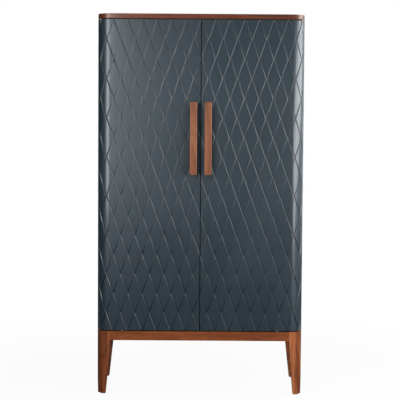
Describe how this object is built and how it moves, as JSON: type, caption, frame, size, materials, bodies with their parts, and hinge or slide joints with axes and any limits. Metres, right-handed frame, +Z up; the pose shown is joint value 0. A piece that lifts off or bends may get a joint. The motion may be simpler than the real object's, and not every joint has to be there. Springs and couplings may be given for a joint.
{
  "type": "storage cabinet",
  "caption": "Tall cabinet with diamond-grooved double doors bent round its front corners, bar handles, inner shelves, and a wooden top and base with tapered legs.",
  "frame": {"origin": "centre of the bounding box at floor level", "axes": "+Z up, +Y from the doors to the back, +X to the right as seen from the front"},
  "size_m": [1, 0.484, 1.845],
  "materials": {
    "lacquer": "satin blue-grey lacquer on board",
    "walnut": "satin oiled walnut",
    "board": "matt grey board",
    "beech": "plain planed beech",
    "steel": "zinc-plated steel",
    "bronze": "satin bronze",
    "plastic": "matt dark plastic"
  },
  "bodies": {
    "root": {"top_slab": "walnut", "front_left_leg": "walnut", "front_right_leg": "walnut", "rear_left_leg": "walnut", "rear_right_leg": "walnut", "front_rail": "walnut", "back_rail": "walnut", "left_rail": "walnut", "right_rail": "walnut", "cross_brace": "beech", "front_left_brace": "beech", "front_right_brace": "beech", "rear_left_brace": "beech", "rear_right_brace": "beech", "front_left_leg_bolt": "steel", "front_right_leg_bolt": "steel", "rear_left_leg_bolt": "steel", "rear_right_leg_bolt": "steel", "front_left_glide": "plastic", "front_right_glide": "plastic", "rear_left_glide": "plastic", "rear_right_glide": "plastic", "left_side": "lacquer", "right_side": "lacquer", "bottom_panel": "board", "top_panel": "board", "back_panel": "board", "lower_shelf": "board", "middle_shelf": "board", "upper_shelf": "board", "lower_front_left_pin": "steel", "lower_front_right_pin": "steel", "lower_rear_left_pin": "steel", "lower_rear_right_pin": "steel", "upper_front_left_pin": "steel", "upper_front_right_pin": "steel", "upper_rear_left_pin": "steel", "upper_rear_right_pin": "steel", "left_upper_bush": "bronze", "left_lower_bush": "bronze", "right_upper_bush": "bronze", "right_lower_bush": "bronze", "left_catch": "plastic", "right_catch": "plastic"},
    "left_door": {"left_door": "lacquer", "left_upper_pivot": "steel", "left_lower_pivot": "steel", "left_handle": "walnut", "left_upper_post": "bronze", "left_lower_post": "bronze", "left_strike": "steel"},
    "right_door": {"right_door": "lacquer", "right_upper_pivot": "steel", "right_lower_pivot": "steel", "right_handle": "walnut", "right_upper_post": "bronze", "right_lower_post": "bronze", "right_strike": "steel"}
  },
  "joints": [
    {"name": "left_door_hinge", "type": "hinge", "parent": "root", "child": "left_door", "pos_m": [-0.48852, -0.15482, 1.0655], "axis": [0, 0, -1], "range_deg": [0, 110]},
    {"name": "right_door_hinge", "type": "hinge", "parent": "root", "child": "right_door", "pos_m": [0.48852, -0.15482, 1.0655], "axis": [0, 0, 1], "range_deg": [0, 110]}
  ]
}
